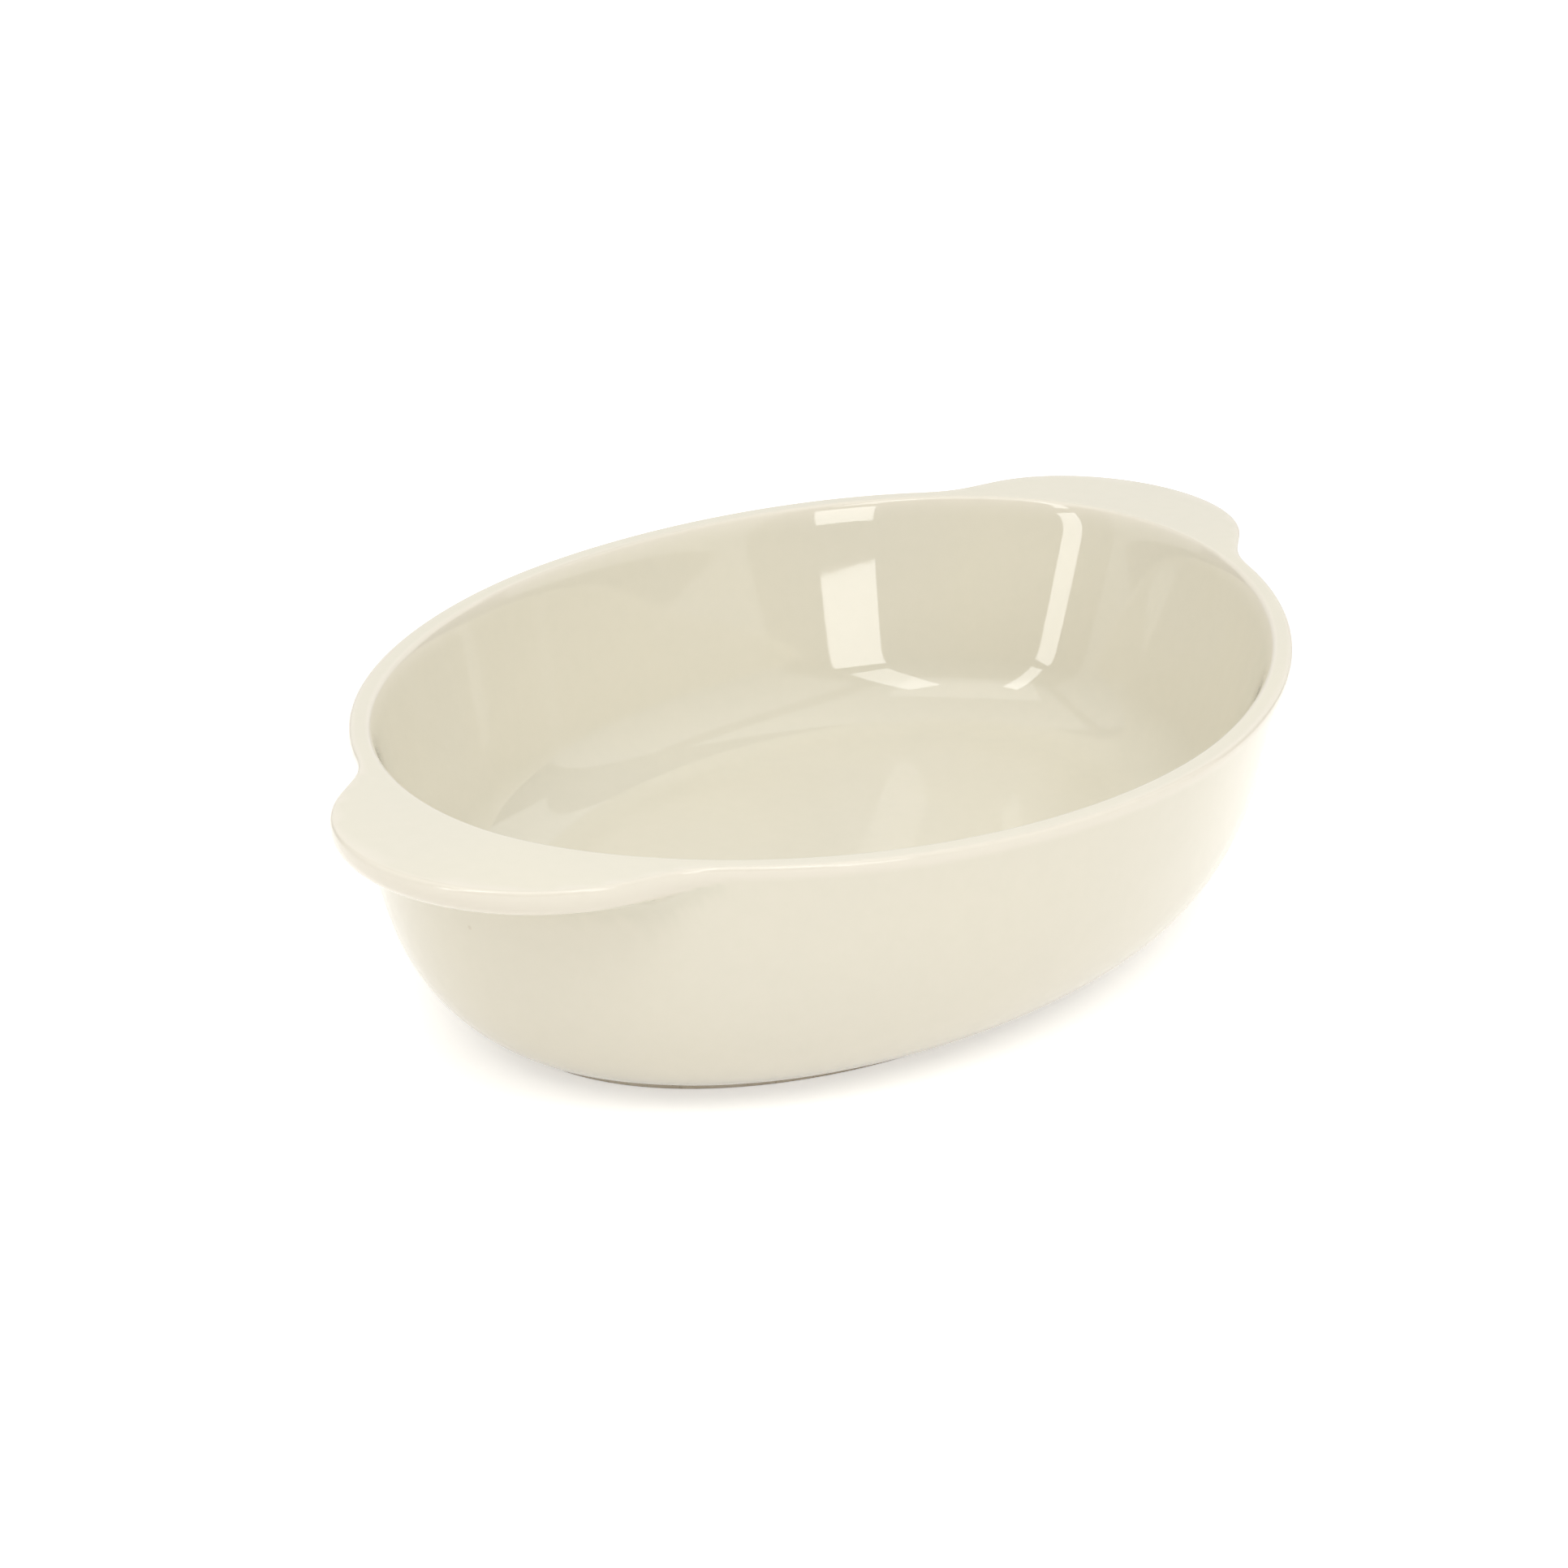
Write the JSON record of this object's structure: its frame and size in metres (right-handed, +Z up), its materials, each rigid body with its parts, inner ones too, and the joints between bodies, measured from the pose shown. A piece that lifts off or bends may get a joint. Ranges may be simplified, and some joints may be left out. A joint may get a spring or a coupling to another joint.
{
  "type": "oval baking dish",
  "caption": "Oval glazed stoneware baking dish: narrow flat rim rising to a level tab handle at each end, wall curving in to a flat floor, on a low unglazed foot ring.",
  "frame": {"origin": "on the surface that the dish stands on, under the middle of the foot", "axes": "+X from the left handle to the right handle, +Y across the dish, +Z up out of its mouth"},
  "size_m": [0.2808, 0.1684, 0.0569],
  "materials": {
    "glaze": "gloss cream glaze, smooth and slightly warm",
    "bare_clay": "unglazed fired clay, matt and fine-grained"
  },
  "bodies": {
    "root": {"dish_body": "glaze", "left_handle": "glaze", "right_handle": "glaze", "foot_ring": "bare_clay"}
  },
  "joints": []
}
